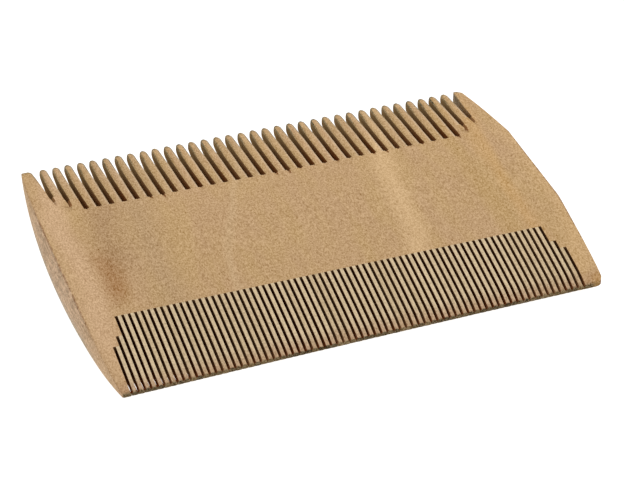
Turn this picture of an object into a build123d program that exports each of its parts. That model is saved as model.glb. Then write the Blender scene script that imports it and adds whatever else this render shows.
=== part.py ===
from build123d import *
import os
from math import atan, cos, sin, sqrt

# Double-sided wooden flea comb, lying on its face. Millimetres, +Z up.
# X runs along the comb, from the left end to the right end. Y runs from the fine teeth (-Y)
# to the coarse teeth (+Y). The origin is at the middle of the underside.
# The comb is sawn from one lens-shaped board. Here the board is divided at the roots of its
# teeth: a solid middle, two broad guard teeth on each row, and each free tooth as a solid.

# Board
comb_length = 100.0
comb_thickness = 7.5
crown_rise = 0.04  # how far the full lens stood above the flats rubbed on both faces

# Fine row, at -Y. The lines of roots and tips are given at the middle of the comb.
fine_pitch = 1.24
fine_kerf = 0.56
fine_slots = 73
fine_centre_x = -0.1
fine_root_y = -16.17
fine_root_slope = 0.0027
fine_tip_y = -33.42
fine_tip_slope = 0.0267
fine_tip_hollow = 0.30  # how far the row of tips drops back from its middle to its ends
fine_tip_thickness = 1.4
fine_tip_face = 0.9  # height of the blunt tip between its two bevels
fine_bevel_length = 1.9
fine_bevel_overrun = 1.0  # the bevels are cut from this far outside the tips
fine_point_width = 0.66
# The two outermost slots at each end of a row are sawn less deep, as shares of the full depth
fine_corner_depths = [0.60, 0.73]

# Coarse row, at +Y
coarse_pitch = 2.55
coarse_kerf = 1.00
coarse_slots = 35
coarse_centre_x = -1.03
coarse_root_y = 16.26
coarse_root_slope = -0.0074
coarse_root_hollow = -0.44
coarse_tip_y = 34.27
coarse_tip_slope = -0.0153
coarse_tip_thickness = 1.6
coarse_nose_length = 1.2  # the tips are rounded over between the two faces
coarse_straight = 0.60  # share of a coarse tooth that has parallel sides
coarse_shoulder = 0.966  # share at which the rounded point of a coarse tooth starts
coarse_shoulder_width = 1.35
coarse_corner_depths = [0.65, 0.77]

# Ends of the board
left_end_radius = 205.0
left_end_crown_y = 3.3
right_end_corners = [(38.5, 37.5), (44.7, 32.6), (48.5, 14.6), (50.0, -8.2), (48.6, -32.2)]
right_fine_corner_radius = 1.6
end_round_radius = 6.2  # the ends are rounded over between the two faces
end_band = 0.05  # how much of the round is left as a flat band along the middle of an end

middle_height = comb_thickness / 2
crown_height = middle_height + crown_rise
half_length = comb_length / 2
reach = 2 * comb_length  # long enough for any cut to pass right through the board
bow_end = 1.1 * half_length  # the bowed line of coarse roots is drawn a little past both ends
root_overlap = 1.0  # teeth are drawn this far into the middle, which is then cut away from them


def arc_radius(half_chord, rise):
    return (half_chord**2 + rise**2) / (2 * rise)


def bowed(x, middle, slope, hollow):
    return middle + slope * x - hollow * (x / half_length) ** 2


def fine_root(x):
    return fine_root_y + fine_root_slope * x


def fine_tip(x):
    return bowed(x, fine_tip_y, fine_tip_slope, fine_tip_hollow)


def coarse_root(x):
    return bowed(x, coarse_root_y, coarse_root_slope, coarse_root_hollow)


def coarse_tip(x):
    return coarse_tip_y + coarse_tip_slope * x


def fine_slot_x(index):
    return fine_centre_x + (index - (fine_slots - 1) / 2) * fine_pitch


def coarse_slot_x(index):
    return coarse_centre_x + (index - (coarse_slots - 1) / 2) * coarse_pitch


def depth_share(index, slots, corner_depths):
    """Depth of a slot as a share of the full depth: less near both ends of its row."""
    from_end = min(index, slots - 1 - index)
    if from_end < len(corner_depths):
        return corner_depths[from_end]
    return 1.0


def fine_slot_bottom(index):
    x = fine_slot_x(index)
    share = depth_share(index, fine_slots, fine_corner_depths)
    return fine_tip(x) + (fine_root(x) - fine_tip(x)) * share


def coarse_slot_bottom(index):
    x = coarse_slot_x(index)
    share = depth_share(index, coarse_slots, coarse_corner_depths)
    return coarse_tip(x) + (coarse_root(x) - coarse_tip(x)) * share


def section_plane(tip_y, slope, outward):
    """A plane square to a row of tips: its own X points out of the comb, past the tips."""
    turn = atan(slope)
    return Plane(
        origin=(0, tip_y, middle_height),
        x_dir=(-outward * sin(turn), outward * cos(turn), 0),
        z_dir=(outward * cos(turn), outward * sin(turn), 0),
    )


def lens_half_height(radius, y):
    return crown_height - radius + sqrt(radius**2 - y**2)


def lens_edge(radius):
    return sqrt(radius**2 - (radius - crown_height) ** 2)


# ---- The board, before it is sawn ----

fine_lens_radius = arc_radius(-fine_tip_y, crown_height - fine_tip_thickness / 2)
coarse_lens_radius = arc_radius(coarse_tip_y, crown_height - coarse_tip_thickness / 2)
fine_bevel_height = lens_half_height(fine_lens_radius, fine_tip_y + fine_bevel_length)
coarse_nose_height = lens_half_height(coarse_lens_radius, coarse_tip_y - coarse_nose_length)
bevel_slope = (fine_bevel_height - fine_tip_face / 2) / fine_bevel_length

# Upright section that rounds an end over, with its own X out of the comb
shoulder_drop = end_round_radius - sqrt(end_round_radius**2 - middle_height**2)
with BuildSketch(mode=Mode.PRIVATE) as end_section:
    with BuildLine():
        shoulder = (end_band - shoulder_drop, middle_height)
        ThreePointArc(shoulder, (end_band, 0), (shoulder[0], -middle_height))
        Line(shoulder, (shoulder[0], reach))
        Polyline((shoulder[0], reach), (-reach, reach), (-reach, 0))
        Polyline((-reach, 0), (-reach, -reach), (shoulder[0], -reach))
        Line((shoulder[0], -reach), (shoulder[0], -middle_height))
    make_face()

with BuildPart() as board:
    # Outline of the right end and the fine tips, left long on the other two sides
    with BuildSketch():
        with BuildLine():
            Polyline(*right_end_corners)
            left_of_tips = (-comb_length, fine_tip(-comb_length))
            ThreePointArc(right_end_corners[-1], (0, fine_tip_y), left_of_tips)
            Polyline(left_of_tips, (-comb_length, comb_length), right_end_corners[0])
        make_face()
        fine_corner = vertices().sort_by_distance(right_end_corners[-1])[0]
        fillet(fine_corner, right_fine_corner_radius)
    extrude(amount=comb_thickness)

    # Lens section: one arc over each half of each face
    with BuildSketch(Plane(origin=(0, 0, middle_height), x_dir=(0, 1, 0), z_dir=(1, 0, 0))):
        with BuildLine():
            TangentArc((0, crown_height), (lens_edge(coarse_lens_radius), 0), tangent=(1, 0))
            TangentArc((0, crown_height), (-lens_edge(fine_lens_radius), 0), tangent=(-1, 0))
            mirror(about=Plane.XZ)
        make_face()
    extrude(amount=reach, both=True, mode=Mode.INTERSECT)

    # Bevels that blunt the fine tips
    with BuildSketch(section_plane(fine_tip_y, fine_tip_slope, -1)):
        with BuildLine():
            front = fine_tip_face / 2 - fine_bevel_overrun * bevel_slope
            back = fine_tip_face / 2 + reach * bevel_slope
            Polyline(
                (fine_bevel_overrun, front),
                (-reach, back),
                (-reach, -back),
                (fine_bevel_overrun, -front),
                close=True,
            )
        make_face()
    extrude(amount=reach, both=True, mode=Mode.INTERSECT)

    # Round nose of the coarse tips
    with BuildSketch(section_plane(coarse_tip_y, coarse_tip_slope, 1)):
        with BuildLine():
            nose_top = (-coarse_nose_length, coarse_nose_height)
            nose_bottom = (-coarse_nose_length, -coarse_nose_height)
            ThreePointArc(nose_top, (0, 0), nose_bottom)
            Polyline(nose_top, (-reach, reach), (-reach, -reach), nose_bottom)
        make_face()
    extrude(amount=reach, both=True, mode=Mode.INTERSECT)

    # Left end, rounded over along its curve
    left_centre = (left_end_radius - half_length, left_end_crown_y)
    with BuildSketch(
        Plane(
            origin=(left_centre[0] + left_end_radius - end_band, left_centre[1], middle_height),
            x_dir=(1, 0, 0),
            z_dir=(0, -1, 0),
        )
    ):
        add(end_section.sketch)
    revolve(axis=Axis((*left_centre, 0), (0, 0, 1)), mode=Mode.INTERSECT)

    # Right end, rounded over along each of its facets
    for start, end in zip(right_end_corners, right_end_corners[1:]):
        along = Vector(end[0] - start[0], end[1] - start[1], 0).normalized()
        facet = Plane(
            origin=(start[0], start[1], middle_height),
            x_dir=(-along.Y, along.X, 0),
            z_dir=along,
        )
        with BuildSketch(facet):
            add(end_section.sketch)
        extrude(amount=reach, both=True, mode=Mode.INTERSECT)

# ---- Middle of the comb, between the two lines of roots ----

with BuildPart() as middle_zone:
    with BuildSketch():
        with BuildLine():
            Line((-reach, fine_root(-reach)), (reach, fine_root(reach)))
            bow_left = (-bow_end, coarse_root(-bow_end))
            bow_right = (bow_end, coarse_root(bow_end))
            ThreePointArc(bow_left, (0, coarse_root(0)), bow_right)
            Polyline(bow_left, (-reach, bow_left[1]), (-reach, fine_root(-reach)))
            Polyline(bow_right, (reach, bow_right[1]), (reach, fine_root(reach)))
        make_face()
    extrude(amount=comb_thickness)

with BuildPart() as comb_body:
    add(board.part)
    add(middle_zone.part, mode=Mode.INTERSECT)
comb_body.part.label = "comb_body"

# ---- Guard teeth, the broad ones at both ends of each row ----


def guard_tooth(slot_x, slot_bottom, kerf, slots, short_slots, side, far_y):
    """A corner of the board beyond the slots, with the steps that the short slots leave."""
    steps = []
    for step in range(short_slots + 1):
        index = step if side < 0 else slots - 1 - step
        edge_x = slot_x(index) + side * kerf / 2
        steps.append((edge_x, slot_bottom(index)))
    outline = [(side * reach, far_y), (steps[0][0], far_y)]
    for (x, bottom), (inner_x, _) in zip(steps, steps[1:]):
        outline.append((x, bottom))
        outline.append((inner_x, bottom))
    outline += [(steps[-1][0], 0), (side * reach, 0)]
    with BuildPart() as guard:
        with BuildSketch():
            with BuildLine():
                Polyline(*outline, close=True)
            make_face()
        extrude(amount=comb_thickness)
        add(board.part, mode=Mode.INTERSECT)
        add(middle_zone.part, mode=Mode.SUBTRACT)
    return guard.part


def coarse_guard(side):
    short_slots = len(coarse_corner_depths)
    return guard_tooth(
        coarse_slot_x, coarse_slot_bottom, coarse_kerf, coarse_slots, short_slots, side, comb_length
    )


def fine_guard(side):
    short_slots = len(fine_corner_depths)
    return guard_tooth(
        fine_slot_x, fine_slot_bottom, fine_kerf, fine_slots, short_slots, side, -comb_length
    )


coarse_guard_left = coarse_guard(-1)
coarse_guard_left.label = "coarse_guard_left"
coarse_guard_right = coarse_guard(1)
coarse_guard_right.label = "coarse_guard_right"
fine_guard_left = fine_guard(-1)
fine_guard_left.label = "fine_guard_left"
fine_guard_right = fine_guard(1)
fine_guard_right.label = "fine_guard_right"

# ---- Coarse teeth ----

with BuildPart() as coarse_teeth:
    with BuildSketch():
        for index in range(coarse_slots - 1):
            left_x = coarse_slot_x(index) + coarse_kerf / 2
            right_x = coarse_slot_x(index + 1) - coarse_kerf / 2
            x = (left_x + right_x) / 2
            root = coarse_root(x)
            length = coarse_tip(x) - root
            shoulder_y = root + coarse_shoulder * length
            straight_y = root + coarse_straight * length
            half_shoulder = coarse_shoulder_width / 2
            with BuildLine():
                Line((left_x, root - root_overlap), (right_x, root - root_overlap))
                right_side = Line((right_x, root - root_overlap), (right_x, straight_y))
                TangentArc(right_side @ 1, (x + half_shoulder, shoulder_y), tangent=(0, 1))
                ThreePointArc(
                    (x + half_shoulder, shoulder_y),
                    (x, coarse_tip(x)),
                    (x - half_shoulder, shoulder_y),
                )
                left_side = Line((left_x, root - root_overlap), (left_x, straight_y))
                TangentArc(left_side @ 1, (x - half_shoulder, shoulder_y), tangent=(0, 1))
            make_face()
    extrude(amount=comb_thickness)
    add(board.part, mode=Mode.INTERSECT)
    add(middle_zone.part, mode=Mode.SUBTRACT)
    add([coarse_guard_left, coarse_guard_right], mode=Mode.SUBTRACT)
coarse_teeth.part.label = "coarse_teeth"

# ---- Fine teeth ----

with BuildPart() as fine_teeth:
    with BuildSketch():
        for index in range(fine_slots - 1):
            left_x = fine_slot_x(index) + fine_kerf / 2
            right_x = fine_slot_x(index + 1) - fine_kerf / 2
            x = (left_x + right_x) / 2
            root = fine_root(x)
            tip = fine_tip(x)
            taper_y = tip + fine_bevel_length
            half_point = fine_point_width / 2
            with BuildLine():
                Polyline(
                    (left_x, root + root_overlap),
                    (left_x, taper_y),
                    (x - half_point, tip),
                    (x + half_point, tip),
                    (right_x, taper_y),
                    (right_x, root + root_overlap),
                    close=True,
                )
            make_face()
    extrude(amount=comb_thickness)
    add(board.part, mode=Mode.INTERSECT)
    add(middle_zone.part, mode=Mode.SUBTRACT)
    add([fine_guard_left, fine_guard_right], mode=Mode.SUBTRACT)
fine_teeth.part.label = "fine_teeth"

# ---- Write each sub-part ----

os.makedirs("parts", exist_ok=True)
export_step(comb_body.part, "parts/comb_body.step")
export_step(coarse_teeth.part, "parts/coarse_teeth.step")
export_step(fine_teeth.part, "parts/fine_teeth.step")
export_step(coarse_guard_left, "parts/coarse_guard_left.step")
export_step(coarse_guard_right, "parts/coarse_guard_right.step")
export_step(fine_guard_left, "parts/fine_guard_left.step")
export_step(fine_guard_right, "parts/fine_guard_right.step")
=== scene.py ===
import math
import random

import bmesh
import bpy
from mathutils import Matrix, Vector


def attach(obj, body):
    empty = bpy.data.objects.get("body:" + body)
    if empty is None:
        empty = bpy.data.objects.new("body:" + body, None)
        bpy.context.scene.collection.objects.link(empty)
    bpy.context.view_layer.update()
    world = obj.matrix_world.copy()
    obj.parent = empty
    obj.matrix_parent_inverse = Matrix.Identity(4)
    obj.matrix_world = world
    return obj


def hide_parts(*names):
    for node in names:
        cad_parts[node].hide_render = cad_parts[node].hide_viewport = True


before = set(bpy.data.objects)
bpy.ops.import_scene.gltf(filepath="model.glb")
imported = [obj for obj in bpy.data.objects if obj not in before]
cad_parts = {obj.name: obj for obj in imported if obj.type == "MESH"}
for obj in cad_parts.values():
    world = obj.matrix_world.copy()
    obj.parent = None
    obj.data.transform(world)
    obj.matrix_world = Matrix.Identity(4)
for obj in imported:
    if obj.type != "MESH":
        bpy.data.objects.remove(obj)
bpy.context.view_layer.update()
print("frame loaded")

mm = 0.001
random.seed(7)

# The board. Lengths are in mm; x runs along the comb and y from the fine to the coarse teeth.
board = {
    "halfThickness": 3.748,
    "crownRise": 0.04,  # what was rubbed off the crown of each face
    "leftRadius": 205.0,
    "leftCrownY": 3.3,
    "rightCorners": [(38.5, 37.5), (44.7, 32.6), (48.5, 14.6), (50.0, -8.2), (48.6, -32.2)],
    "endRound": 6.2,  # the ends are rounded over from face to face
    "endBand": 0.05,
    "endZone": 5.0,  # the stretch of each end that is squeezed to fit its curve
    "endCuts": 5,
    "creaseWear": 0.22,  # how far the edge between a face and an end is worn round
    "creaseAngle": 15.0,  # the flattest edge that is worn, in degrees
    "cutsAlong": 15,
    "cutsThrough": 9,
    "markCuts": (0.89, 0.0155, 7),  # extra cuts for the saw marks: first, step and number
}

fine = {
    "pitch": 1.24,
    "kerf": 0.56,
    "slots": 73,
    "centreX": -0.1,
    "rootY": -16.17,
    "rootSlope": 0.0027,
    "tipY": -33.42,
    "tipSlope": 0.0267,
    "tipHollow": 0.30,
    "tipThickness": 1.4,
    "tipFace": 0.9,
    "bevelLength": 1.9,
    "shortSlots": [0.60, 0.73],  # depth of the outermost slots, as shares of the full depth
    "barCuts": (3, 13, 2),  # across, along and through a tooth
    "crowding": 1.35,  # how the cuts along a tooth crowd towards its tip
    "squareness": 0.75,
    "lean": (-0.09, 0.10),  # sideways, at the root and at the tip
    "flare": 0.26,  # the slots close up towards the underside of the tips
    "flareLength": 2.6,
    "flareRise": 1.4,
    "crown": 0.05,  # rounding across a tooth's faces
    "crownPower": 3,
    "crownGrowth": (0.05, 0.35),  # shares of a tooth's length over which it grows
    "unevenPitch": 0.02,
    "unevenTip": 0.06,
    "innerRadius": {-1: 0.12, 1: 0.12},  # tip corners of the left and right guard teeth
    "outerRadius": {-1: 0.5, 1: 1.6},
    "guardTaper": {-1: 0.0, 1: 0.0},
}

coarse = {
    "pitch": 2.55,
    "kerf": 1.00,
    "slots": 35,
    "centreX": -1.03,
    "rootY": 16.26,
    "rootSlope": -0.0074,
    "rootHollow": -0.44,
    "tipY": 34.26,
    "tipSlope": -0.0153,
    "tipThickness": 1.6,
    "noseLength": 0.35,
    "nosePower": 2.5,
    "noseLeft": 0.25,
    "shortSlots": [0.65, 0.77],
    "barCuts": (7, 19, 3),
    "crowding": 1.9,
    "squareness": (0.75, 0.8),  # of a tooth's section, across and through
    "bend": (0.32, -0.25),  # sideways, at the root and at the tip
    "bendPower": 2.5,
    "rootWidth": 0.94,  # width of a tooth at the root and further out, as shares of the sawn width
    "fullWidth": 1.05,
    "widthGrowth": (0.0, 0.55),
    "pointLength": 1.5,  # length of the rounded point
    "pointPower": 2.4,
    "pointLeft": 0.1,
    "crown": 0.16,
    "crownGrowth": (0.0, 0.25),
    "roundness": 0.4,  # how far a tooth's section grows round, and over which shares
    "roundGrowth": (0.45, 1.0),
    "pointRim": (0.945, 0.975),  # shares over which the rim of painted shade sets in, at the point, on a tooth's sides and on a guard tooth
    "sideRim": (0.6, 0.85),  # on a tooth's sides
    "guardRim": (0.55, 0.9),  # and on a guard tooth
    "guardRimMost": 0.8,
    "sideFrom": 0.7,
    "unevenPitch": 0.05,
    "unevenTip": 0.10,
    "unevenLean": 0.06,
    "innerRadius": {-1: 1.3, 1: 0.9},
    "guardTaper": {-1: 0.62, 1: 0.28},  # how much narrower a guard tooth is at its tip
}

# The saw ran on past the bottoms of the coarse slots. Widths are shares of the slot's.
sawMarks = {
    "fullSlot": {
        "length": (0.8, 2.6), "lean": (0.05, 0.4), "faintest": 0.15, "depth": 0.3,
        "edge": 0.30, "floor": 0.10, "end": 0.5, "tint": 0.55,
    },
    "shortSlot": {
        "length": (3.6, 4.2), "lean": (0.05, 0.4), "faintest": 1.0, "depth": 0.8,
        "edge": 0.5, "floor": 0.30, "end": 0.55, "tint": 0.85,
    },
}

middle = 3.75
halfLength = 49.985


def grow(value, low, high):
    # 0 up to low, 1 from high on
    return min(max((value - low) / (high - low), 0), 1)


def arcRadius(halfChord, rise):
    return (halfChord ** 2 + rise ** 2) / (2 * rise)


crownHeight = middle + board["crownRise"]
fineLens = arcRadius(-fine["tipY"], crownHeight - fine["tipThickness"] / 2)
coarseLens = arcRadius(coarse["tipY"], crownHeight - coarse["tipThickness"] / 2)
bevelY = fine["tipY"] + fine["bevelLength"]
lensAtBevel = crownHeight - fineLens + math.sqrt(fineLens ** 2 - bevelY ** 2)
bevelSlope = (lensAtBevel - fine["tipFace"] / 2) / fine["bevelLength"]


def fineRoot(x):
    return fine["rootY"] + fine["rootSlope"] * x


def fineTip(x):
    return fine["tipY"] + fine["tipSlope"] * x - fine["tipHollow"] * (x / halfLength) ** 2


def coarseRoot(x):
    return coarse["rootY"] + coarse["rootSlope"] * x - coarse["rootHollow"] * (x / halfLength) ** 2


def coarseTip(x):
    return coarse["tipY"] + coarse["tipSlope"] * x


def slotX(row, index):
    return row["centreX"] + (index - (row["slots"] - 1) / 2) * row["pitch"]


def slotShare(row, index):
    fromEnd = min(index, row["slots"] - 1 - index)
    shares = row["shortSlots"]
    return shares[fromEnd] if fromEnd < len(shares) else 1.0


def slotBottom(row, root, tip, index):
    x = slotX(row, index)
    return tip(x) + (root(x) - tip(x)) * slotShare(row, index)


def coarseBend(share):
    atRoot, atTip = coarse["bend"]
    share = grow(share, 0, 1)
    return atRoot * (1 - share) ** coarse["bendPower"] + atTip * share


def fineLean(share):
    atRoot, atTip = fine["lean"]
    return atRoot + (atTip - atRoot) * grow(share, 0, 1)


def fineFlare(fromTip, up):
    nearTip = grow(fine["flareLength"] - fromTip, 0, fine["flareLength"])
    return fine["flare"] * nearTip * min((1 - up) * fine["flareRise"], 1)


def halfHeight(x, y):
    # the faces are arched, the fine tips bevelled and the coarse tips rounded to a nose
    lens = fineLens if y < 0 else coarseLens
    height = min(board["halfThickness"], crownHeight - lens + math.sqrt(lens ** 2 - y ** 2))
    height = min(height, fine["tipFace"] / 2 + max(y - fineTip(x), 0) * bevelSlope)
    inNose = 1 - max(coarseTip(x) - y, 0) / coarse["noseLength"]
    if inNose > 0:
        height *= math.sqrt(max(1 - inNose ** coarse["nosePower"], coarse["noseLeft"]))
    return height


def endX(side, y, dz):
    rounded = board["endRound"] - math.sqrt(board["endRound"] ** 2 - dz ** 2) - board["endBand"]
    inset = max(rounded, 0.0)
    if side < 0:
        radius = board["leftRadius"]
        return radius - math.sqrt((radius - inset) ** 2 - (y - board["leftCrownY"]) ** 2) - halfLength
    corners = board["rightCorners"]
    reach = 100.0
    for (x0, y0), (x1, y1) in zip(corners, corners[1:]):
        onFacet = x0 + (x1 - x0) * (y - y0) / (y1 - y0)
        reach = min(reach, onFacet)
    return reach - inset


def loopCuts(bm, edges, axis, cuts):
    along = []
    for edge in edges:
        span = edge.verts[0].co - edge.verts[1].co
        if abs(span[axis]) > 0.5 * span.length:
            along.append(edge)
    bmesh.ops.subdivide_edges(bm, edges=along, cuts=cuts, use_grid_fill=True)


# how a face's kind is told from its place and from the way it looks
faceRules = {
    "sideways": 0.6,  # walls and ends look along x at least this squarely
    "endWithin": 0.3,
    "guardWalls": (-44.5, 42.4),  # past these x a coarse wall is a guard tooth's
    "guardPaler": (23.0, 32.0),  # y over which it grows paler
    "guardPalest": 0.9,
    "slotFloor": 0.9,
    "front": 0.7,
    "tipsBeyond": 31.0,
}


def markFaces(bm):
    for name in ("sawn", "end", "front"):
        bm.faces.layers.float.new(name)
    sawn = bm.faces.layers.float["sawn"]
    end = bm.faces.layers.float["end"]
    front = bm.faces.layers.float["front"]
    bmesh.ops.recalc_face_normals(bm, faces=bm.faces)
    leftWall, rightWall = faceRules["guardWalls"]
    for face in bm.faces:
        centre = face.calc_center_median()
        side = 1 if centre.x > 0 else -1
        fromEnd = abs(endX(side, centre.y, centre.z - middle) - centre.x)
        sideways = abs(face.normal.x) > faceRules["sideways"]
        if sideways and fromEnd < faceRules["endWithin"]:
            face[end] = 1.0
        # slot walls and floors are marked for painted shade, which fades out along the guard teeth
        elif sideways:
            onGuard = centre.y > 0 and not leftWall < centre.x < rightWall
            paler = min(grow(centre.y, *faceRules["guardPaler"]), faceRules["guardPalest"])
            face[sawn] = 1 - paler if onGuard else 1.0
        elif abs(face.normal.y) > faceRules["slotFloor"] and abs(centre.y) < faceRules["tipsBeyond"]:
            face[sawn] = 1.0
        # fronts of the fine tips are marked for painted shade
        elif face.normal.y < -faceRules["front"] and centre.y < -faceRules["tipsBeyond"]:
            face[front] = 1.0


def giveTones(bm, teeth):
    # each tooth is a little lighter or darker than the next
    tones = [random.uniform(-1, 1) for _ in range(teeth)]
    bm.faces.layers.float.new("tone")
    tone = bm.faces.layers.float["tone"]
    for number, face in enumerate(bm.faces):
        face[tone] = tones[number * teeth // len(bm.faces)]


def giveVertices(bm, name, values):
    bm.verts.layers.float.new(name)
    layer = bm.verts.layers.float[name]
    for vert, value in zip(bm.verts, values):
        vert[layer] = value


def finishPiece(bm, name, node):
    bmesh.ops.recalc_face_normals(bm, faces=bm.faces)
    markFaces(bm)
    bmesh.ops.scale(bm, vec=(mm, mm, mm), verts=bm.verts)
    mesh = bpy.data.meshes.new(name)
    bm.to_mesh(mesh)
    bm.free()
    mesh.shade_smooth()
    mesh.set_sharp_from_angle(angle=math.radians(32))
    piece = bpy.data.objects.new(name, mesh)
    bpy.context.scene.collection.objects.link(piece)
    piece.data.materials.append(bpy.data.materials["pearWood"])
    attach(piece, "root")
    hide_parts(node)
    print("made", name, len(mesh.polygons), "faces")


wood = {
    "base": (0.500, 0.322, 0.162),
    "rosy": (0.485, 0.296, 0.158),
    "golden": (0.515, 0.335, 0.150),
    "sawn": (0.105, 0.032, 0.008),  # painted shade on the walls and floors of the fine slots
    "sawnFineTip": (0.17, 0.050, 0.014),  # the same near the fine tips
    "sawnCoarse": (0.25, 0.085, 0.020),
    "sawnCoarseTip": (0.285, 0.195, 0.095),
    "mark": (0.20, 0.10, 0.045),
    "fineTooth": (0.63, 0.50, 0.32),
    "fineTip": (0.40, 0.225, 0.13),
    "blunt": (0.095, 0.066, 0.030),  # painted shade on the fronts of the fine tips
    "tipSoilAndRimShade": (0.115, 0.103, 0.062),  # soil near the coarse tips and painted shade along their rims
    # painted highlight and painted shade for the two edges of a coarse tooth
    "litEdge": (0.57, 0.42, 0.275),
    "shadedEdge": (0.42, 0.275, 0.122),
    "end": (0.57, 0.39, 0.25),
    "endLow": (0.45, 0.38, 0.28),  # greyer where it turns under
    # painted shade along the crease where a face turns into an end
    "crease": (0.30, 0.165, 0.085),
    "burnish": (0.45, 0.245, 0.075),
    "toothTone": (0.40, 0.27, 0.13),
    "palest": 0.85,  # how much of fineTooth the fine teeth show
    "grainTint": (0.135, 0.108, 0.074),
    "roughness": (0.5, 0.72),
    "shine": 0.08,
    "grainBump": 0.5,
    "grainHeight": 0.00004,
}

# Noise patterns: how often they repeat in a mm each way, detail and roughness
patterns = {
    "wander": ((0.10, 0.035, 0.10), 2.0),
    "mottle": ((0.22, 0.06, 0.22), 3.0),
    "soil": ((0.5, 0.3, 0.5), 2.0),
    "breaks": ((0.3, 0.9, 0.3), 3.0),
    "endGrain": ((1.2, 0.35, 3.2), 3.0, 0.65),
    "grain": ((3.8, 2.1, 3.8), 3.0, 0.6),
    "flecks": ((7.0, 1.6, 7.0), 1.0),
}

# What each measure turns into: from and to, and the result at each of the two
ramps = {
    "wander": (0.2, 0.8, -1.6, 1.6),  # mm that the stripes stray sideways
    "figure": (0.3, 0.7),
    "fineSoil": (0.3, 0.7, -0.5, 0.5),  # mm that the soiled edge strays
    "coarseSoil": (0.3, 0.7, -0.25, 0.25),
    "rimBreaks": (0.3, 0.7, 0.7, 1.0),
    "fineTip": (0.0, 4.0, 0.6, 0.0),  # mm in from the tips
    "blunt": (-0.1, 0.3, 0.5, 0.0),
    "fineWall": (0.3, 3.2, 1.0, 0.0),
    "coarseTip": (0.25, 1.5, 0.6, 0.0),
    "litEdge": (0.05, 0.85, 0.0, 0.75),  # across a coarse tooth, from -1 to 1
    "shadedEdge": (-0.9, -0.05, 0.8, 0.0),
    "burnish": (0.3, 5.0, 0.6, 0.0),  # square mm round the corner
    "endDrift": (0.3, 0.7, -1.3, 1.3),
    "endTurn": (2.2, 4.6),  # mm above the table
    "endDust": (0.42, 0.62, 0.72, 1.12),
    "endMiddle": (12.0, 26.0, 1.0, 0.25),  # mm from the middle of an end
    "creaseBreaks": (0.35, 0.55, 0.15, 1.0),
    "coarseWall": (15.5, 31.5),  # mm out from the middle of the board
    "coarseSide": (-1.0, 1.0),
    "tone": (-1.0, 1.0, 0.0, 0.28),
    "grain": (0.25, 0.75, -1.0, 1.0),
    "flecks": (0.58, 0.75, 0.0, -1.0),
    "grainInSlots": (0.0, 1.0, 1.0, 0.15),
}

burnishAt = (48.2, -31.8)  # the corner that a hand rubs
creaseShow = 0.85
markShow = 0.95

# Soft stripes that run with the grain: x where they cross the middle, lean and bend of their
# path, half width, the stretch of y that they fade over, colour and strength
stripes = {
    "paleBand": {"x": 20.0, "lean": 0.13, "bend": 0.0, "width": 4.2, "yRange": (-60, 60),
                 "colour": (0.63, 0.42, 0.22), "strength": 0.9},
    "paleArc": {"x": -15.6, "lean": 0.26, "bend": 0.006, "width": 1.6, "yRange": (-60, 60),
                "colour": (0.56, 0.38, 0.21), "strength": 0.6},
    "redPatch": {"x": -40.0, "lean": 0.10, "bend": 0.0, "width": 5.0, "yRange": (-16, 5),
                 "colour": (0.36, 0.18, 0.072), "strength": 0.9},
    "duskyBand": {"x": -37.6, "lean": 0.08, "bend": 0.0, "width": 5.5, "yRange": (-10, 24),
                  "colour": (0.385, 0.235, 0.125), "strength": 0.7},
    "duskyShoulder": {"x": -30.5, "lean": 0.05, "bend": 0.0, "width": 7.0, "yRange": (-60, 60),
                      "colour": (0.435, 0.285, 0.150), "strength": 0.6},
    "orangeBand": {"x": 40.5, "lean": 0.02, "bend": 0.0, "width": 2.6, "yRange": (-60, 60),
                   "colour": (0.56, 0.335, 0.130), "strength": 0.6},
    "dullBand": {"x": 36.2, "lean": 0.02, "bend": 0.0, "width": 2.8, "yRange": (-60, 60),
                 "colour": (0.475, 0.30, 0.125), "strength": 0.6},
    "paleEdgeLeft": {"x": -46.5, "lean": 0.0, "bend": 0.004, "width": 4.5, "yRange": (-60, 60),
                     "colour": (0.60, 0.39, 0.225), "strength": 0.9},
    "paleEdgeRight": {"x": 49.0, "lean": 0.0, "bend": -0.003, "width": 4.0, "yRange": (-60, 60),
                      "colour": (0.60, 0.39, 0.19), "strength": 0.7},
}


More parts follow.
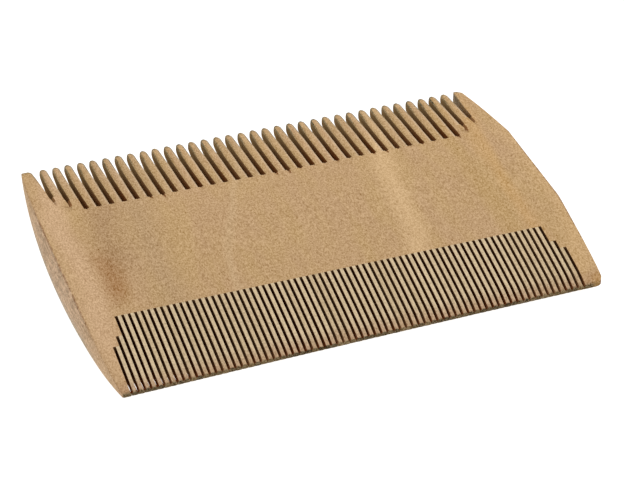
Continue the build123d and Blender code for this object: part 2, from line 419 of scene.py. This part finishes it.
class NodeBench:
    def __init__(self, tree):
        self.tree = tree

    def put(self, socket, value):
        if isinstance(value, bpy.types.NodeSocket):
            self.tree.links.new(value, socket)
        elif isinstance(value, tuple) and len(value) == 3 and socket.type == "RGBA":
            socket.default_value = (*value, 1)
        else:
            socket.default_value = value

    def sum(self, operation, first, second=0.0):
        node = self.tree.nodes.new("ShaderNodeMath")
        node.operation = operation
        self.put(node.inputs[0], first)
        self.put(node.inputs[1], second)
        return node.outputs[0]

    def ramp(self, value, low, high, toLow=0.0, toHigh=1.0):
        node = self.tree.nodes.new("ShaderNodeMapRange")
        node.interpolation_type = "SMOOTHSTEP"
        for socket, item in zip(node.inputs, (value, low, high, toLow, toHigh)):
            self.put(socket, item)
        return node.outputs[0]

    def mix(self, share, first, second):
        node = self.tree.nodes.new("ShaderNodeMix")
        node.data_type = "RGBA"
        self.put(node.inputs[0], share)
        self.put(node.inputs[6], first)
        self.put(node.inputs[7], second)
        return node.outputs[2]

    def scaled(self, colour, factor):
        node = self.tree.nodes.new("ShaderNodeVectorMath")
        node.operation = "SCALE"
        self.put(node.inputs[0], colour)
        self.put(node.inputs["Scale"], factor)
        return node.outputs[0]

    def added(self, colour, tint, factor):
        node = self.tree.nodes.new("ShaderNodeVectorMath")
        node.operation = "MULTIPLY_ADD"
        self.put(node.inputs[0], tint)
        self.put(node.inputs[1], factor)
        self.put(node.inputs[2], colour)
        return node.outputs[0]

    def noise(self, place, scale, detail=2.0, roughness=0.5):
        stretch = self.tree.nodes.new("ShaderNodeMapping")
        stretch.inputs["Scale"].default_value = scale
        self.put(stretch.inputs["Vector"], place)
        node = self.tree.nodes.new("ShaderNodeTexNoise")
        node.inputs["Scale"].default_value = 1.0
        node.inputs["Detail"].default_value = detail
        node.inputs["Roughness"].default_value = roughness
        self.put(node.inputs["Vector"], stretch.outputs[0])
        return node.outputs[0]

    def mark(self, name):
        node = self.tree.nodes.new("ShaderNodeAttribute")
        node.attribute_name = name
        return node.outputs["Fac"]


def stripeMask(bench, stripe, x, y):
    path = bench.sum("MULTIPLY", y, stripe["lean"])
    bend = bench.sum("MULTIPLY", bench.sum("MULTIPLY", y, y), stripe["bend"])
    path = bench.sum("ADD", bench.sum("ADD", path, bend), stripe["x"])
    away = bench.sum("ABSOLUTE", bench.sum("SUBTRACT", x, path))
    across = bench.ramp(away, 0.0, stripe["width"], 1.0, 0.0)
    low, high = stripe["yRange"]
    centreY = (low + high) / 2
    awayY = bench.sum("ABSOLUTE", bench.sum("SUBTRACT", y, centreY))
    lengthwise = bench.ramp(awayY, (high - low) / 6, (high - low) / 2, 1.0, 0.0)
    return bench.sum("MULTIPLY", bench.sum("MULTIPLY", across, lengthwise), stripe["strength"])


def fromTips(bench, row, x, y):
    # mm in from the line of a row's tips
    line = bench.sum("ADD", bench.sum("MULTIPLY", x, row["tipSlope"]), row["tipY"])
    return bench.sum("SUBTRACT", y, line) if row is fine else bench.sum("SUBTRACT", line, y)


def woodFigure(bench, place, x, y, mottle):
    # rosy and golden wood, with soft stripes along the grain and pale fine teeth
    wander = bench.noise(place, *patterns["wander"])
    wandered = bench.sum("ADD", x, bench.ramp(wander, *ramps["wander"]))
    colour = bench.mix(bench.ramp(mottle, *ramps["figure"]), wood["rosy"], wood["golden"])
    colour = bench.mix(0.5, colour, wood["base"])
    for stripe in stripes.values():
        colour = bench.mix(stripeMask(bench, stripe, wandered, y), colour, stripe["colour"])
    return bench.mix(bench.sum("MULTIPLY", bench.mark("pale"), wood["palest"]), colour, wood["fineTooth"])


def soilAndShadeFineTips(bench, colour, soil, x, y):
    fromTip = fromTips(bench, fine, x, y)
    soiled = bench.sum("ADD", fromTip, bench.ramp(soil, *ramps["fineSoil"]))
    colour = bench.mix(bench.ramp(soiled, *ramps["fineTip"]), colour, wood["fineTip"])
    # painted shade along the tip edge and on the front faces
    colour = bench.mix(bench.ramp(fromTip, *ramps["blunt"]), colour, wood["blunt"])
    return bench.mix(bench.mark("front"), colour, wood["blunt"])


def lightShadeAndSoilCoarseTips(bench, colour, soil, x, y):
    # painted highlight along one edge of each coarse tooth and painted shade along the other
    side = bench.mark("side")
    colour = bench.mix(bench.ramp(side, *ramps["litEdge"]), colour, wood["litEdge"])
    colour = bench.mix(bench.ramp(side, *ramps["shadedEdge"]), colour, wood["shadedEdge"])
    soiled = bench.sum("ADD", fromTips(bench, coarse, x, y), bench.ramp(soil, *ramps["coarseSoil"]))
    # painted shade along the rims, broken up by noise, joined with soil near the tips
    rim = bench.sum("MULTIPLY", bench.mark("rim"), bench.ramp(soil, *ramps["rimBreaks"]))
    rim = bench.sum("MAXIMUM", rim, bench.ramp(soiled, *ramps["coarseTip"]))
    return bench.mix(rim, colour, wood["tipSoilAndRimShade"])


def burnishCorner(bench, colour, x, y):
    awayX, awayY = (bench.sum("SUBTRACT", at, corner) for at, corner in zip((x, y), burnishAt))
    squareX, squareY = (bench.sum("MULTIPLY", away, away) for away in (awayX, awayY))
    squares = bench.sum("ADD", squareX, squareY)
    return bench.mix(bench.ramp(squares, *ramps["burnish"]), colour, wood["burnish"])


def colourAndShadeEnds(bench, colour, place, y, z):
    # dusty end grain, greyer where it turns under, and painted shade along the crease between face and
    # end, broken up by noise
    endGrain = bench.noise(place, *patterns["endGrain"])
    height = bench.sum("ADD", z, bench.ramp(endGrain, *ramps["endDrift"]))
    ends = bench.mix(bench.ramp(height, *ramps["endTurn"]), wood["endLow"], wood["end"])
    ends = bench.scaled(ends, bench.ramp(endGrain, *ramps["endDust"]))
    endMiddle = bench.ramp(bench.sum("ABSOLUTE", y), *ramps["endMiddle"])
    colour = bench.mix(bench.sum("MULTIPLY", bench.mark("end"), endMiddle), colour, ends)
    broken = bench.ramp(bench.noise(place, *patterns["breaks"]), *ramps["creaseBreaks"])
    crease = bench.sum("MULTIPLY", bench.sum("MULTIPLY", bench.mark("crease"), endMiddle), broken)
    return bench.mix(bench.sum("MULTIPLY", crease, creaseShow), colour, wood["crease"])


def shadeSlotsAndTintMarks(bench, colour, sawn, x, y):
    # painted shade on the slot walls and floors, lighter near the tips
    nearFineTips = bench.ramp(fromTips(bench, fine, x, y), *ramps["fineWall"])
    fineWall = bench.mix(nearFineTips, wood["sawn"], wood["sawnFineTip"])
    coarseWall = bench.mix(bench.ramp(y, *ramps["coarseWall"]), wood["sawnCoarse"], wood["sawnCoarseTip"])
    wall = bench.mix(bench.ramp(y, *ramps["coarseSide"]), fineWall, coarseWall)
    colour = bench.mix(sawn, colour, wall)
    return bench.mix(bench.sum("MULTIPLY", bench.mark("mark"), markShow), colour, wood["mark"])


def makeWood():
    material = bpy.data.materials.new("pearWood")
    material.use_nodes = True
    tree = material.node_tree
    tree.nodes.clear()
    bench = NodeBench(tree)
    output = tree.nodes.new("ShaderNodeOutputMaterial")
    shader = tree.nodes.new("ShaderNodeBsdfPrincipled")
    tree.links.new(shader.outputs[0], output.inputs[0])

    coordinates = tree.nodes.new("ShaderNodeTexCoord")
    inMillimetres = tree.nodes.new("ShaderNodeMapping")
    inMillimetres.inputs["Scale"].default_value = (1 / mm, 1 / mm, 1 / mm)
    tree.links.new(coordinates.outputs["Object"], inMillimetres.inputs["Vector"])
    place = inMillimetres.outputs[0]
    split = tree.nodes.new("ShaderNodeSeparateXYZ")
    tree.links.new(place, split.inputs[0])
    x, y, z = split.outputs

    mottle = bench.noise(place, *patterns["mottle"])
    soil = bench.noise(place, *patterns["soil"])
    sawn = bench.mark("sawn")
    colour = woodFigure(bench, place, x, y, mottle)
    colour = soilAndShadeFineTips(bench, colour, soil, x, y)
    colour = lightShadeAndSoilCoarseTips(bench, colour, soil, x, y)
    colour = burnishCorner(bench, colour, x, y)
    colour = colourAndShadeEnds(bench, colour, place, y, z)
    colour = shadeSlotsAndTintMarks(bench, colour, sawn, x, y)
    colour = bench.mix(bench.ramp(bench.mark("tone"), *ramps["tone"]), colour, wood["toothTone"])

    # fine grain, with short dark flecks along the teeth
    grain = bench.noise(place, *patterns["grain"])
    flecks = bench.noise(place, *patterns["flecks"])
    light = bench.ramp(grain, *ramps["grain"])
    shade = bench.ramp(flecks, *ramps["flecks"])
    fleck = bench.sum("MULTIPLY", bench.sum("ADD", light, shade), bench.ramp(sawn, *ramps["grainInSlots"]))
    bench.put(shader.inputs["Base Color"], bench.added(colour, wood["grainTint"], fleck))

    bench.put(shader.inputs["Roughness"], bench.ramp(mottle, 0.25, 0.75, *wood["roughness"]))
    dulled = bench.sum("MULTIPLY", sawn, wood["shine"])
    bench.put(shader.inputs["Specular IOR Level"], bench.sum("SUBTRACT", wood["shine"], dulled))
    bump = tree.nodes.new("ShaderNodeBump")
    bump.inputs["Strength"].default_value = wood["grainBump"]
    bump.inputs["Distance"].default_value = wood["grainHeight"]
    bench.put(bump.inputs["Height"], grain)
    bench.put(shader.inputs["Normal"], bump.outputs[0])


makeWood()
print("made the wood")


def sliceAt(bm, place, normal):
    whole = bm.verts[:] + bm.edges[:] + bm.faces[:]
    bmesh.ops.bisect_plane(bm, geom=whole, plane_co=place, plane_no=normal)


def sliceForMark(bm, index, kind):
    x = slotX(coarse, index)
    for offset in (kind["edge"], kind["floor"]):
        for side in (-1, 1):
            sliceAt(bm, (x + side * offset * coarse["kerf"], 0, 0), (1, 0, 0))


def sinkMarks(bm, indices, kind):
    # a tapering groove that the saw left in both faces past the bottom of a slot
    bm.verts.layers.float.new("mark")
    mark = bm.verts.layers.float["mark"]
    faintest = kind["faintest"]
    for index in indices:
        x = slotX(coarse, index)
        bottom = slotBottom(coarse, coarseRoot, coarseTip, index)
        bend = coarseBend(1 - slotShare(coarse, index))
        length = random.uniform(*kind["length"])
        lean = random.uniform(*kind["lean"])
        strength = 1.0 if faintest == 1 else faintest + (1 - faintest) * random.random() ** 2
        for vert in bm.verts:
            across = (vert.co.x - x) / coarse["kerf"]
            run = (bottom - vert.co.y) / length
            up = vert.co.z - middle
            onFace = abs(up) > 0.97 * halfHeight(vert.co.x, vert.co.y)
            if abs(across) > kind["edge"] + 0.001 or not -0.01 < run < 1 or not onFace:
                continue
            run = max(run, 0)
            narrow = 1 - (1 - kind["end"]) * run
            vert.co.x = x + bend + (across * narrow + lean * run) * coarse["kerf"]
            if abs(across) < kind["floor"] + 0.01:
                sink = strength * (1 - run) ** 1.2
                vert.co.z -= math.copysign(kind["depth"] * sink, up)
                vert[mark] = kind["tint"] * strength * (1 - run) ** 0.6


def squeezeIntoEnd(x, y, up):
    # leaves the middle as it is and fits the last stretch to the curve of the end
    side = 1 if x > 0 else -1
    start = side * (halfLength - board["endZone"])
    share = max((x - start) / (side * halfLength - start), 0)
    newX = x
    for _ in range(3):
        dz = up * halfHeight(newX, y)
        if share > 0:
            newX = start + (endX(side, y, dz) - start) * share
    return newX, dz


def makeBody():
    bm = bmesh.new()
    bmesh.ops.create_cube(bm, size=2)
    bmesh.ops.scale(bm, vec=(halfLength, 1, 1), verts=bm.verts)
    loopCuts(bm, bm.edges[:], 1, board["cutsAlong"])
    loopCuts(bm, bm.edges[:], 2, board["cutsThrough"])
    firstCut, cutStep, cuts = board["markCuts"]
    for cut in range(cuts):
        sliceAt(bm, (0, firstCut + cut * cutStep, 0), (0, 1, 0))
    markedSlots = range(2, coarse["slots"] - 2)
    for index in markedSlots:
        sliceForMark(bm, index, sawMarks["fullSlot"])
    for cut in range(board["endCuts"] + 1):
        fromEnd = cut * board["endZone"] / board["endCuts"]
        for side in (-1, 1):
            sliceAt(bm, (side * (halfLength - fromEnd), 0, 0), (1, 0, 0))
    for vert in bm.verts:
        x, along, up = vert.co
        newX = x
        for _ in range(3):
            y = fineRoot(newX) + (coarseRoot(newX) - fineRoot(newX)) * (along + 1) / 2
            newX, dz = squeezeIntoEnd(x, y, up)
        vert.co = (newX, y, middle + dz)
    sinkMarks(bm, markedSlots, sawMarks["fullSlot"])
    wearCrease(bm)
    finishPiece(bm, "solid_middle", "comb_body")


def isOnEnd(vert):
    side = 1 if vert.co.x > 0 else -1
    return abs(endX(side, vert.co.y, vert.co.z - middle) - vert.co.x) < 0.02


def wearCrease(bm):
    # the edges between the faces and the ends are worn round
    bm.faces.layers.float.new("crease")
    bm.normal_update()
    worn = []
    for edge in bm.edges:
        if len(edge.link_faces) != 2 or edge.calc_face_angle(0) < math.radians(board["creaseAngle"]):
            continue
        span = edge.verts[0].co - edge.verts[1].co
        meetsTooth = any(abs(face.normal.y) > 0.9 for face in edge.link_faces)
        lengthwise = abs(span.y) > 0.6 * span.length
        if all(isOnEnd(vert) for vert in edge.verts) and lengthwise and not meetsTooth:
            worn.append(edge)
    rounded = bmesh.ops.bevel(
        bm, geom=worn, offset=board["creaseWear"], segments=2, profile=0.5, affect="EDGES", material=-1
    )
    # the rounded faces are marked for the painted shade of the crease
    crease = bm.faces.layers.float["crease"]
    for face in rounded["faces"]:
        face[crease] = 1.0


makeBody()


def toothBar(cutsAcross, cutsAlong, cutsUp):
    bm = bmesh.new()
    bmesh.ops.create_cube(bm, size=2)
    loopCuts(bm, bm.edges[:], 0, cutsAcross)
    loopCuts(bm, bm.edges[:], 1, cutsAlong)
    loopCuts(bm, bm.edges[:], 2, cutsUp)
    mesh = bpy.data.meshes.new("toothBar")
    bm.to_mesh(mesh)
    bm.free()
    return mesh


def roundSection(across, up, share):
    # turns a square section, from -1 to 1 each way, towards a circle
    circleAcross = across * math.sqrt(1 - up ** 2 / 2)
    circleUp = up * math.sqrt(1 - across ** 2 / 2)
    return across + (circleAcross - across) * share, up + (circleUp - up) * share


def spread(value, power):
    return math.copysign(abs(value) ** power, value)


def coarseWidth(share):
    grown = grow(share, *coarse["widthGrowth"])
    width = coarse["rootWidth"] + (coarse["fullWidth"] - coarse["rootWidth"]) * grown
    pointShare = coarse["pointLength"] / (coarse["tipY"] - coarse["rootY"])
    inPoint = max(0.0, (share - 1 + pointShare) / pointShare)
    return width * math.sqrt(max(1 - inPoint ** coarse["pointPower"], coarse["pointLeft"]))


def makeCoarseTeeth():
    bar = toothBar(*coarse["barCuts"])
    bm = bmesh.new()
    rims, sides = [], []
    halfWidth = (coarse["pitch"] - coarse["kerf"]) / 2
    squareAcross, squareThrough = coarse["squareness"]
    for index in range(coarse["slots"] - 1):
        first = len(bm.verts)
        bm.from_mesh(bar)
        bm.verts.ensure_lookup_table()
        centre = slotX(coarse, index) + coarse["pitch"] / 2
        shift = random.uniform(-1, 1) * coarse["unevenPitch"]
        lean = random.uniform(-1, 1) * coarse["unevenLean"]
        shorter = random.uniform(0, 1) * coarse["unevenTip"]
        depth = min(slotShare(coarse, index), slotShare(coarse, index + 1))
        tip = coarseTip(centre) - shorter
        fullLength = tip - coarseRoot(centre)
        for vert in bm.verts[first:]:
            across, along, up = vert.co
            ramp = 1 - (1 - (along + 1) / 2) ** coarse["crowding"]
            rootX = centre + across * halfWidth
            root = coarseTip(rootX) + (coarseRoot(rootX) - coarseTip(rootX)) * depth
            y = root + (tip - root) * ramp
            share = 1 - (tip - y) / fullLength
            roundness = coarse["roundness"] * grow(share, *coarse["roundGrowth"])
            u, v = roundSection(spread(across, squareAcross), spread(up, squareThrough), roundness)
            x = centre + u * halfWidth * coarseWidth(share)
            x += coarseBend(share) + (shift + lean * share) * share
            height = halfHeight(x, min(y + shorter * share, coarseTip(x)))
            crown = coarse["crown"] * grow(ramp, *coarse["crownGrowth"])
            height -= crown * min(height, 1.0) * u ** 2  # less where the tooth is thin
            vert.co = (x, y, middle + v * height)
            sideRim = grow(share, *coarse["sideRim"]) if abs(across) > coarse["sideFrom"] else 0
            rims.append(max(grow(share, *coarse["pointRim"]), sideRim))
            sides.append(across)
    giveTones(bm, coarse["slots"] - 1)
    giveVertices(bm, "rim", rims)
    giveVertices(bm, "side", sides)
    finishPiece(bm, "coarse_teeth_row", "coarse_teeth")


def makeFineTeeth():
    bar = toothBar(*fine["barCuts"])
    bm = bmesh.new()
    halfWidth = (fine["pitch"] - fine["kerf"]) / 2
    for index in range(fine["slots"] - 1):
        first = len(bm.verts)
        bm.from_mesh(bar)
        bm.verts.ensure_lookup_table()
        centre = slotX(fine, index) + fine["pitch"] / 2
        shift = random.uniform(-1, 1) * fine["unevenPitch"]
        shorter = random.uniform(0, 1) * fine["unevenTip"]
        depth = min(slotShare(fine, index), slotShare(fine, index + 1))
        tip = fineTip(centre) + shorter
        fullLength = fineRoot(centre) - tip
        for vert in bm.verts[first:]:
            across, along, up = vert.co
            ramp = 1 - (1 - (along + 1) / 2) ** fine["crowding"]
            rootX = centre + across * halfWidth
            root = fineTip(rootX) + (fineRoot(rootX) - fineTip(rootX)) * depth
            y = root + (tip - root) * ramp
            share = 1 - (y - tip) / fullLength
            u = spread(across, fine["squareness"])
            x = centre + u * (halfWidth + fineFlare(y - tip, up)) + fineLean(share) + shift * share
            crown = fine["crown"] * grow(share, *fine["crownGrowth"])
            height = halfHeight(x, y) - crown * abs(u) ** fine["crownPower"]
            vert.co = (x, y, middle + up * height)
    giveTones(bm, fine["slots"] - 1)
    bm.faces.layers.float.new("pale")
    pale = bm.faces.layers.float["pale"]
    for face in bm.faces:
        face[pale] = 1.0
    finishPiece(bm, "fine_teeth_row", "fine_teeth")


makeCoarseTeeth()
makeFineTeeth()

guard = {
    "taperFrom": 0.4,  # share of its length from which a guard tooth tapers
    "taperPower": 1.6,
    "beyondEnd": 60.0,  # x past the end of the board, where the block starts out
    "cutsAlong": 14,
    "cutsNearTip": [0.90, 0.915, 0.945, 0.96, 0.975, 0.985, 0.993, 0.998],
    "cutsAcross": 6,
    "cutsThrough": 10,
    "markStretch": 0.22,  # share of the length under a step that the saw mark takes, and its cuts
    "markCuts": 7,
}


def guardInner(row, side, start, share):
    # inner edge of a guard tooth: it tapers towards the tip and its corner is rounded
    ramp = max((share - guard["taperFrom"]) / (1 - guard["taperFrom"]), 0)
    radius = row["innerRadius"][side]
    length = abs(row["tipY"] - row["rootY"])
    inCorner = max(1 - (1 - share) * length / radius, 0)
    rounded = radius * (1 - math.sqrt(max(1 - inCorner ** 2, 0)))
    sideways = coarseBend(share) if row is coarse else fineLean(share)
    return start + sideways + side * (row["guardTaper"][side] * ramp ** guard["taperPower"] + rounded)


def guardOuter(row, side, y, dz, tip):
    # the end of the board, which the fine guard teeth round into the line of the tips
    edge = endX(side, y, dz)
    if row is coarse:
        return edge
    radius = row["outerRadius"][side]
    inCorner = max(1 - abs(y - tip(edge)) / radius, 0)
    return edge - side * radius * (1 - math.sqrt(max(1 - inCorner ** 2, 0)))


def endSlot(row, side, step):
    return step if side < 0 else row["slots"] - 1 - step


def guardBlock(row, side, steps, farX):
    # stepped block, cut for shaping: x in mm, y as a share from root to tip, z from -1 to 1
    inner = steps[0][0]
    outline = [(farX, 1), (inner, 1)]
    for (x, bottom), (innerX, _) in zip(steps, steps[1:]):
        outline += [(x, bottom), (innerX, bottom)]
    outline += [(steps[-1][0], 0), (farX, 0)]
    bm = bmesh.new()
    corners = [bm.verts.new((x, y, -1)) for x, y in outline]
    bm.faces.new(corners)
    raised = bmesh.ops.extrude_face_region(bm, geom=bm.faces[:])
    top = [item for item in raised["geom"] if isinstance(item, bmesh.types.BMVert)]
    bmesh.ops.translate(bm, vec=(0, 0, 2), verts=top)

    along = guard["cutsAlong"]
    for share in [cut / along for cut in range(1, along)] + guard["cutsNearTip"]:
        sliceAt(bm, (0, share, 0), (0, 1, 0))
    for x, bottom in steps[:-1]:
        sliceAt(bm, (0, bottom, 0), (0, 1, 0))
        sliceAt(bm, (x, 0, 0), (1, 0, 0))
        if row is coarse:
            for part in range(1, guard["markCuts"]):
                below = guard["markStretch"] * part / guard["markCuts"]
                sliceAt(bm, (0, bottom - below, 0), (0, 1, 0))
    if row is coarse:
        for step in range(len(row["shortSlots"])):
            sliceForMark(bm, endSlot(row, side, step), sawMarks["shortSlot"])
    for cut in range(1, guard["cutsAcross"]):
        sliceAt(bm, (inner + (farX - inner) * cut / guard["cutsAcross"], 0, 0), (1, 0, 0))
    for cut in range(1, guard["cutsThrough"]):
        sliceAt(bm, (0, 0, -1 + 2 * cut / guard["cutsThrough"]), (0, 0, 1))
    return bm


def guardTooth(row, root, tip, side, name, node):
    steps = []  # the tooth widens at the bottom of each short slot
    for step in range(len(row["shortSlots"]) + 1):
        index = endSlot(row, side, step)
        edgeX = slotX(row, index) + side * row["kerf"] / 2
        steps.append((edgeX, 1 - slotShare(row, index)))
    inner = steps[0][0]
    farX = side * guard["beyondEnd"]
    bm = guardBlock(row, side, steps, farX)
    rims = []
    for vert in bm.verts:
        x, along, up = vert.co
        share = max((x - inner) / (farX - inner), 0)
        newX = x
        for _ in range(4):
            y = root(newX) + (tip(newX) - root(newX)) * along
            dz = up * halfHeight(newX, y)
            start = guardInner(row, side, min(x, inner) if side > 0 else max(x, inner), along)
            if row is fine:
                start -= side * fineFlare(y - tip(newX), up)
            newX = start + (guardOuter(row, side, y, dz, tip) - start) * share
        vert.co = (newX, y, middle + dz)
        rim = min(grow(along, *coarse["guardRim"]), coarse["guardRimMost"])
        rims.append(rim if abs(x - inner) < 0.01 else 0)
    if row is coarse:
        giveVertices(bm, "rim", rims)
        shortSlots = [endSlot(row, side, step) for step in range(len(row["shortSlots"]))]
        sinkMarks(bm, shortSlots, sawMarks["shortSlot"])
    wearCrease(bm)
    finishPiece(bm, name, node)


guardTooth(coarse, coarseRoot, coarseTip, -1, "coarse_guard_left_end", "coarse_guard_left")
guardTooth(coarse, coarseRoot, coarseTip, 1, "coarse_guard_right_end", "coarse_guard_right")
guardTooth(fine, fineRoot, fineTip, -1, "fine_guard_left_end", "fine_guard_left")
guardTooth(fine, fineRoot, fineTip, 1, "fine_guard_right_end", "fine_guard_right")

studio = {
    "floorColour": (0.36, 0.36, 0.355),
    "floorGlow": 0.92,  # the table is lit from below
    "keyPower": 3.8,
    "fillPower": 0.5,
    "world": 0.72,
    "azimuth": -18.644,
    "elevation": 38.5,
    "roll": 0.157,
    "distance": 578.55,
    "target": (1.4526, 0.28),
    "lens": 172.08,
}


def makeFloor():
    bm = bmesh.new()
    bmesh.ops.create_grid(bm, x_segments=2, y_segments=2, size=3)
    mesh = bpy.data.meshes.new("floor")
    bm.to_mesh(mesh)
    bm.free()
    floor = bpy.data.objects.new("floor", mesh)
    bpy.context.scene.collection.objects.link(floor)
    material = bpy.data.materials.new("paleFloor")
    material.use_nodes = True
    shader = material.node_tree.nodes["Principled BSDF"]
    shader.inputs["Base Color"].default_value = (*studio["floorColour"], 1)
    shader.inputs["Roughness"].default_value = 0.9
    shader.inputs["Emission Color"].default_value = (1, 1, 1, 1)
    shader.inputs["Emission Strength"].default_value = studio["floorGlow"]
    floor.data.materials.append(material)


def makeLight(name, place, aim, size, power):
    data = bpy.data.lights.new(name, "AREA")
    data.energy = power
    data.size = size
    light = bpy.data.objects.new(name, data)
    bpy.context.scene.collection.objects.link(light)
    light.location = place
    light.rotation_euler = (Vector(aim) - Vector(place)).to_track_quat("-Z", "Y").to_euler()


def makeCamera():
    azimuth = math.radians(studio["azimuth"])
    elevation = math.radians(studio["elevation"])
    back = Vector((
        math.sin(azimuth) * math.cos(elevation),
        -math.cos(azimuth) * math.cos(elevation),
        math.sin(elevation),
    ))
    right = (-back).cross(Vector((0, 0, 1))).normalized()
    up = right.cross(-back)
    turn = math.radians(studio["roll"])
    right, up = math.cos(turn) * right + math.sin(turn) * up, math.cos(turn) * up - math.sin(turn) * right
    place = Vector((*studio["target"], 0)) * mm + back * studio["distance"] * mm
    data = bpy.data.cameras.new("camera")
    data.lens = studio["lens"]
    data.sensor_width = 36
    data.clip_start = 0.01
    camera = bpy.data.objects.new("camera", data)
    bpy.context.scene.collection.objects.link(camera)
    axes = Matrix((right, up, back)).transposed()
    camera.matrix_world = Matrix.Translation(place) @ axes.to_4x4()
    bpy.context.scene.camera = camera


makeFloor()
makeLight("keyLight", (0.35, 0.45, 0.7), (0, 0, 0), 0.6, studio["keyPower"])
makeLight("fillLight", (-0.6, -0.5, 0.6), (0, 0, 0), 0.8, studio["fillPower"])
world = bpy.data.worlds.new("studioWorld")
world.use_nodes = True
world.node_tree.nodes["Background"].inputs["Color"].default_value = (1, 1, 1, 1)
world.node_tree.nodes["Background"].inputs["Strength"].default_value = studio["world"]
bpy.context.scene.world = world
bpy.context.scene.view_settings.view_transform = "Standard"
makeCamera()
print("studio set")
